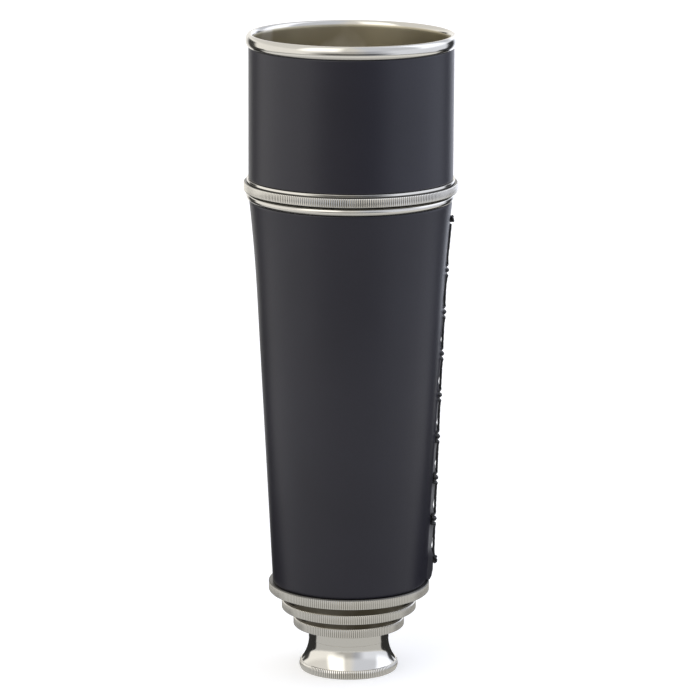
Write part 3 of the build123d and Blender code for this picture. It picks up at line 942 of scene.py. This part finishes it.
class FLASK_OT_vessels(bpy.types.Operator):
    """Beaker, barrel and the two nested cups, with their rolled rims"""

    bl_idname = "flask.vessels"
    bl_label = "Vessels"

    def execute(self, context):
        metal = context.scene.flask_metal
        wall = BEAKER_COVER_R - LEATHER
        bore = wall - CUP_SHEET
        half_height = 2.15 * MM
        roll = rolled_rim(wall, bore, BEAKER_RIM_R, BEAKER_TOP_Z, half_height, 540, 44)
        wall_mm, bore_mm, low_mm = wall / MM, bore / MM, BEAKER_Z / MM
        floor_mm = (BEAKER_Z + CUP_SHEET) / MM
        under_roll_mm = (BEAKER_TOP_Z - half_height) / MM - 1.0
        down = section(
            (bore_mm, under_roll_mm, 0.0), (bore_mm, floor_mm, 2.0), (0.0, floor_mm, 0.0), closed=False
        )
        low = section(
            (0.0, low_mm, 0.0), (wall_mm, low_mm, 0.8), (wall_mm, 203.0, 0.0), closed=False
        )
        beaker = turned("rolled_beaker", np.vstack([low, roll, down]))
        material = polished_finish("beaker_metal", metal.tint, metal.polish, bore=bore)
        finish_piece(beaker, "beaker", material, "beaker_liner")

        half_height = 1.3 * MM
        heights = np.linspace(BARREL_Z, BARREL_TOP_Z - half_height, 60)
        outer = np.stack([cover_radius(heights) - LEATHER, heights], axis=1)
        inner = np.stack([cover_radius(heights[::-1]) - LEATHER - BARREL_SHEET, heights[::-1]], axis=1)
        roll = rolled_rim(
            outer[-1, 0], inner[0, 0], BARREL_RIM_R, BARREL_TOP_Z, half_height, 538, 40
        )
        clear = 0.2 * MM
        keep_outer = outer[outer[:, 1] < roll[0, 1] - clear]
        keep_inner = inner[inner[:, 1] < roll[-1, 1] - clear]
        barrel = turned("rolled_barrel", np.vstack([keep_outer, roll, keep_inner]))
        material = polished_finish("barrel_metal", metal.tint, metal.polish)
        finish_piece(barrel, "barrel", material, "barrel_shell")

        inner_cup = section(
            (0.0, 15.7, 0.0), (17.4, 15.7, 0.3), (17.4, 74.2, 0.25), (16.8, 74.2, 0.25), (16.8, 16.3, 1.5),
            (0.0, 16.3, 0.0), closed=False,
        )
        outer_cup = section(
            (0.0, 74.4, 0.0), (20.7, 74.4, 1.2), (20.7, 21.4, 0.2), (21.3, 21.4, 0.2), (21.3, 75.0, 1.0),
            (0.0, 75.0, 0.0), closed=False,
        )
        for name, profile, recess in (
            ("inner_cup", inner_cup, (INNER_COLLAR_TOP_Z - 2 * MM, OUTER_COLLAR_Z + 2 * MM)),
            ("outer_cup", outer_cup, (GRIP_TOP_Z - 3 * MM, END_RING_Z + 2 * MM)),
        ):
            cup = turned("turned_" + name, profile)
            material = polished_finish(name + "_metal", metal.tint, metal.polish, recess)
            finish_piece(cup, name, material, name)
        return {"FINISHED"}


# Heights on the barrel, and how far the seam's edges and the lace stand off the sleeve there

SEAM_HEIGHTS = (
    np.array([29.8, 31.2, 33.5, 37.0, 40.5, 56.0, 90.0, 124.0, 147.0, 152.5]) * MM,
    np.array([1.45, 2.0, 2.3, 2.15, 1.62, 1.25, 0.55, 0.14, 0.1, 0.0]) * MM,
)
LACE_HEIGHTS = (
    np.array([36.7, 56.0, 90.0, 124.0, 135.0, 143.0, 149.6]) * MM,
    np.array([2.2, 1.68, 0.95, 0.48, 0.3, 0.12, 0.1]) * MM,
)
LOBE_HEIGHT = 0.42 * MM
DIP_DEPTH = 0.32 * MM
DIP_ABOVE_TIE = 4.8 * MM
ROUNDED_SHARE = 0.36


def seam_height(z, lace):
    """Height of the barrel's seam over the sleeve, pulled out into a lobe at each tie of the lace.

    A lobe is a bell, steeper above the tie than below it, and above each is a dip that the lace spans.
    Without them the height runs straight between the heights of SEAM_HEIGHTS.
    """
    height = np.interp(z, *SEAM_HEIGHTS)
    bottom_tie = lace.top_tie - lace.ties * lace.pitch
    nearest = np.clip(np.round((lace.top_tie - z) / lace.pitch), 0, lace.ties)
    off = z - (lace.top_tie - nearest * lace.pitch)
    lobe = bell(off, np.where(off > 0, 1.7 * MM, 3.0 * MM)) * LOBE_HEIGHT
    dip = bell(off - DIP_ABOVE_TIE, 1.05 * MM) * np.minimum(height, DIP_DEPTH)
    return height + smooth(z, bottom_tie - 1.0 * MM, bottom_tie + 1.0 * MM) * (lobe - dip)


def seam_rise(z, side, edge, lace):
    """Rise of the seam over the sleeve at a sideways distance t from its middle.

    Beyond the turned edges the leather is drawn straight from their foot to where it touches the sleeve's
    circle: x = (R - t sin a) / cos a. Each edge stands on that foot: a quarter of an ellipse over the
    ROUNDED_SHARE next to the slit between them, then 1 - part^1.7 down to the foot.
    """
    t = np.abs(side)
    radius = cover_radius(z)
    height = seam_height(z, lace)
    end = SEAM_GAP + edge
    foot = np.minimum(height * 0.72, 0.3 * MM + height * 0.12)
    foot_x = np.sqrt(radius**2 - end**2) + foot
    lean = np.arctan2(end, foot_x) + np.arccos(np.clip(radius / np.hypot(foot_x, end), -1.0, 1.0))
    drawn = (radius - t * np.sin(lean)) / np.cos(lean) - np.sqrt(radius**2 - t**2)
    drawn = np.where(t < radius * np.sin(lean), np.clip(drawn, 0.0, None), 0.0)
    part = np.clip((t - SEAM_GAP) / edge, 0.0, 1.0)
    top = ROUNDED_SHARE
    rounded = np.sqrt(1.0 - (1.0 - np.clip(part / top, 0.0, 1.0)) ** 2)
    swell = np.where(part < top, rounded, 1.0 - np.clip((part - top) / (1.0 - top), 0.0, 1.0) ** 1.7)
    low = np.where(part < top, height * 0.55 - 0.1 * MM * smooth(height, 0.0, 0.1 * MM), foot)
    return np.where(t < end, low + (height + CREST_RISE - low) * swell, drawn)


class FLASK_OT_barrel_cover(bpy.types.Operator):
    """Leather cover of the barrel, its edges turned up into a seam"""

    bl_idname = "flask.barrel_cover"
    bl_label = "Barrel Cover"

    def execute(self, context):
        cover = context.scene.flask_cover
        lace = context.scene.flask_lace
        over = SEAM_GAP + cover.edge * np.linspace(0.0, 1.0, 15) ** 1.3
        beside = SEAM_GAP + cover.edge + np.array([0.1, 0.35]) * MM
        away = SEAM_GAP + cover.edge + np.linspace(0.8, 11.5, 19) * MM
        spread = np.concatenate([[0.0], over, beside, away])

        def rise(z, side):
            return seam_rise(z, side, cover.edge, lace)

        def wear_and_highlight(z, side):
            """Worn dye and a painted highlight on the outer side of each turned edge, least at the ties."""
            t = np.abs(side)
            across = smooth(t, 0.3 * MM, 0.7 * MM) * (1 - smooth(t, 1.3 * MM, 3.0 * MM))
            phase = (lace.top_tie - z) / lace.pitch
            held = bell((phase - np.round(phase)) * lace.pitch, 2.4 * MM)
            along = smooth(z, 37 * MM, 42 * MM) * (1 - smooth(z, 144 * MM, 151 * MM))
            return across * (1 - 0.8 * held) * along

        piece = sleeve(
            "laced_cover", 132, 0.0, spread, rise, (COVER_Z, COVER_TOP_Z), 230, cover_radius, wear_and_highlight
        )
        material = leather_finish("barrel_leather_finish", cover.tint, cover.sheen, cover.grain, True)
        finish_piece(piece, "barrel", material, "barrel_leather")
        return {"FINISHED"}


STITCHES = 12


class FLASK_OT_beaker_cover(bpy.types.Operator):
    """Leather cover of the beaker, with its stitched butt seam at the back"""

    bl_idname = "flask.beaker_cover"
    bl_label = "Beaker Cover"

    def execute(self, context):
        cover = context.scene.flask_cover
        spread = np.concatenate([np.linspace(0.0, 2.2, 23), [2.6, 3.2, 4.2]]) * MM
        stitch_low, stitch_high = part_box("beaker_stitching")
        stitches = np.linspace(stitch_low.z + 0.3 * MM, stitch_high.z - 0.3 * MM, STITCHES)

        def rise(z, side):
            """A groove along the butt and a dimple at each hole, all of them bells."""
            t = np.abs(side)
            nearest = np.abs(z[..., None] - stitches).min(-1)
            hole = bell(t - 1.25 * MM, 0.32 * MM) * bell(nearest, 0.34 * MM)
            return -0.55 * MM * bell(t, 0.22 * MM) - 0.35 * MM * hole

        piece = sleeve(
            "stitched_cover", 150, math.pi / 2, spread, rise, (BEAKER_COVER_Z, BEAKER_COVER_TOP_Z), 150,
            lambda z: np.full_like(z, BEAKER_COVER_R),
        )
        material = leather_finish("beaker_leather_finish", cover.tint, cover.sheen, cover.grain)
        finish_piece(piece, "beaker", material, "beaker_leather")

        runs = []
        t = np.linspace(-1.0, 1.0, 25)
        for z in stitches:
            y = BEAKER_COVER_R + (0.2 - 0.95 * t**4) * MM
            path = np.stack([1.35 * MM * t, y, z + 0.12 * MM * t], axis=1)
            runs.append((path, np.tile([0.0, 0.0, 1.0], (len(path), 1))))
        stitching = cord("waxed_stitches", runs, 0.55 * MM, strands=2, lay=1.2 * MM, sides=10)
        material = thread_finish("stitch_thread", context.scene.flask_lace.tint)
        finish_piece(stitching, "beaker", material, "beaker_stitching")
        return {"FINISHED"}


class FLASK_OT_lace(bpy.types.Operator):
    """Waxed lace: two ends wound crosswise at each tie, along the seam between, knotted at the ends"""

    bl_idname = "flask.lace"
    bl_label = "Lace"

    def execute(self, context):
        lace = context.scene.flask_lace
        cover = context.scene.flask_cover
        half = lace.thickness / 2
        runs = []
        for side in (1, -1):
            path, axis = self.strand(lace, cover, side, half)
            runs.append((path, path - axis))
        bottom_tie = lace.top_tie - lace.ties * lace.pitch
        runs.append(self.knot(TOP_KNOT_Z, 0.5 * MM, lace, half))
        runs.append(self.knot(bottom_tie, 0.62 * MM, lace, half))
        runs.append(self.tail(TOP_KNOT_Z, lace, half))
        piece = cord("waxed_lace", runs, lace.thickness, strands=3, lay=2.0 * MM, sides=12)
        material = thread_finish("lace_thread", lace.tint)
        finish_piece(piece, "barrel", material, "barrel_lacing")
        return {"FINISHED"}

    def crest(self, z, lace):
        """Radius of the top of the seam."""
        return cover_radius(z) + seam_height(z, lace) + CREST_RISE

    def line(self, z, lace, half):
        """Radius at which the lace runs straight from tie to tie, or over a lobe where one is higher."""
        straight = cover_radius(z) + np.interp(z, *LACE_HEIGHTS)
        return np.maximum(straight, self.crest(z, lace) + 0.5 * half)

    def strand(self, lace, cover, side, half):
        """One end of the lace, from the top knot to the bottom one, and the line that it winds about.

        At a tie it winds twice round the seam, from tie_half above the tie to tie_half below it: flank
        times the angle's sine sideways, about a line that lies deep under the crest. Between ties it runs
        straight, just off the crest, so it stands clear over the dips.
        """
        flank = cover.edge + SEAM_GAP + half * 0.3
        tie_half = 1.9 * MM
        deep = 0.8 * MM
        under = 0.3 * MM
        stations = lace.top_tie - np.arange(lace.ties + 1) * lace.pitch
        points = []
        start = LACE_TOP_Z
        for number, z in enumerate(stations):
            for part in (0.08, 0.25, 0.42, 0.58, 0.75, 0.9):
                at = start + (z + tie_half - start) * part
                sway = side * (0.34 + 0.08 * math.sin(2.3 * number + 5 * part)) * MM
                points.append((self.line(at, lace, half), sway, at))
            if number == lace.ties:
                points.append((self.line(z, lace, half), 0.0, z))
                break
            for angle in np.radians(np.arange(0, 721, 45)):
                at = z + tie_half * (1 - angle / TURN)
                high = deep + half * 0.7 if math.cos(angle) > 0 else under
                out = side * flank * math.sin(angle)
                points.append((self.crest(at, lace) - deep + high * math.cos(angle), out, at))
            start = z - tie_half
        path = spline(points, 0.17 * MM)
        axis = np.stack([self.crest(path[:, 2], lace) - deep, 0 * path[:, 1], path[:, 2]], axis=1)
        return path, axis

    def knot(self, z, size, lace, half):
        """End knot: a trefoil of the lace, x = sin t + 2 sin 2t, y = cos t - 2 cos 2t, depth = -sin 3t."""
        t = np.linspace(0.35, TURN - 0.05, 120)
        across = np.sin(t) + 2 * np.sin(2 * t)
        along = np.cos(t) - 2 * np.cos(2 * t)
        depth = -np.sin(3 * t)
        centre = self.line(z, lace, half) + half * 0.3
        path = np.stack([centre + depth * size * 0.7, across * size * 0.6, z + along * size * 0.6], axis=1)
        middle = np.array([centre - 3 * MM, 0.0, z])
        return path, path - middle

    def tail(self, z, lace, half):
        """Cut end that stands out of a knot: a smooth path through four points."""
        centre = self.line(z, lace, half)
        points = np.array([[0.0, 0.0, 0.0], [0.4, -0.4, -0.1], [0.6, -0.8, -0.5], [0.55, -1.0, -1.1]]) * MM
        path = spline(points + np.array([centre, 0.0, z]), 0.15 * MM)
        return path, np.tile([0.0, 1.0, 0.0], (len(path), 1))


class FLASK_OT_inner_parts(bpy.types.Operator):
    """Finishes of the parts inside, which keep the frame's own shapes"""

    bl_idname = "flask.inner_parts"
    bl_label = "Inner Parts"

    def execute(self, context):
        metal = context.scene.flask_metal
        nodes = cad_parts
        brushed = brushed_finish("inner_sheet", metal.inner_tint, 0.30)
        cut = brushed_finish("cut_thread", metal.inner_tint, 0.22)
        soft = soft_finish("soft_ring_rubber", RUBBER)
        for material, names in (
            (brushed, ("eyepiece_plate", "cup_well", "shoulder_plate", "beaker_base_plate")),
            (cut, ("flask_neck", "screw_socket")),
            (soft, ("inner_cup_grip", "outer_cup_grip", "sealing_washer")),
        ):
            for name in names:
                nodes[name].data.materials.clear()
                nodes[name].data.materials.append(material)
        return {"FINISHED"}


class FLASK_PT_panel(bpy.types.Panel):
    """Sizes, colours and pieces of the flask"""

    bl_idname = "FLASK_PT_panel"
    bl_label = "Spyglass Flask"
    bl_space_type = "VIEW_3D"
    bl_region_type = "UI"
    bl_category = "Flask"

    def draw(self, context):
        layout = self.layout
        for group in GROUPS:
            box = layout.box()
            settings = getattr(context.scene, GROUPS[group])
            for name in group.__annotations__:
                box.prop(settings, name)
        for operator in OPERATORS:
            layout.operator(operator.bl_idname)


GROUPS = {
    FLASK_PG_metal: "flask_metal",
    FLASK_PG_cover: "flask_cover",
    FLASK_PG_lace: "flask_lace",
    FLASK_PG_stage: "flask_stage",
}
OPERATORS = (
    FLASK_OT_stage,
    FLASK_OT_eyepiece,
    FLASK_OT_rings,
    FLASK_OT_vessels,
    FLASK_OT_barrel_cover,
    FLASK_OT_beaker_cover,
    FLASK_OT_lace,
    FLASK_OT_inner_parts,
)


def register():
    for group, name in GROUPS.items():
        bpy.utils.register_class(group)
        setattr(bpy.types.Scene, name, PointerProperty(type=group))
    for operator in OPERATORS:
        bpy.utils.register_class(operator)
    bpy.utils.register_class(FLASK_PT_panel)


def unregister():
    bpy.utils.unregister_class(FLASK_PT_panel)
    for operator in reversed(OPERATORS):
        bpy.utils.unregister_class(operator)
    for group, name in reversed(GROUPS.items()):
        delattr(bpy.types.Scene, name)
        bpy.utils.unregister_class(group)


def main():
    register()
    for operator in OPERATORS:
        family, name = operator.bl_idname.split(".")
        getattr(getattr(bpy.ops, family), name)()


if __name__ == "__main__":
    main()
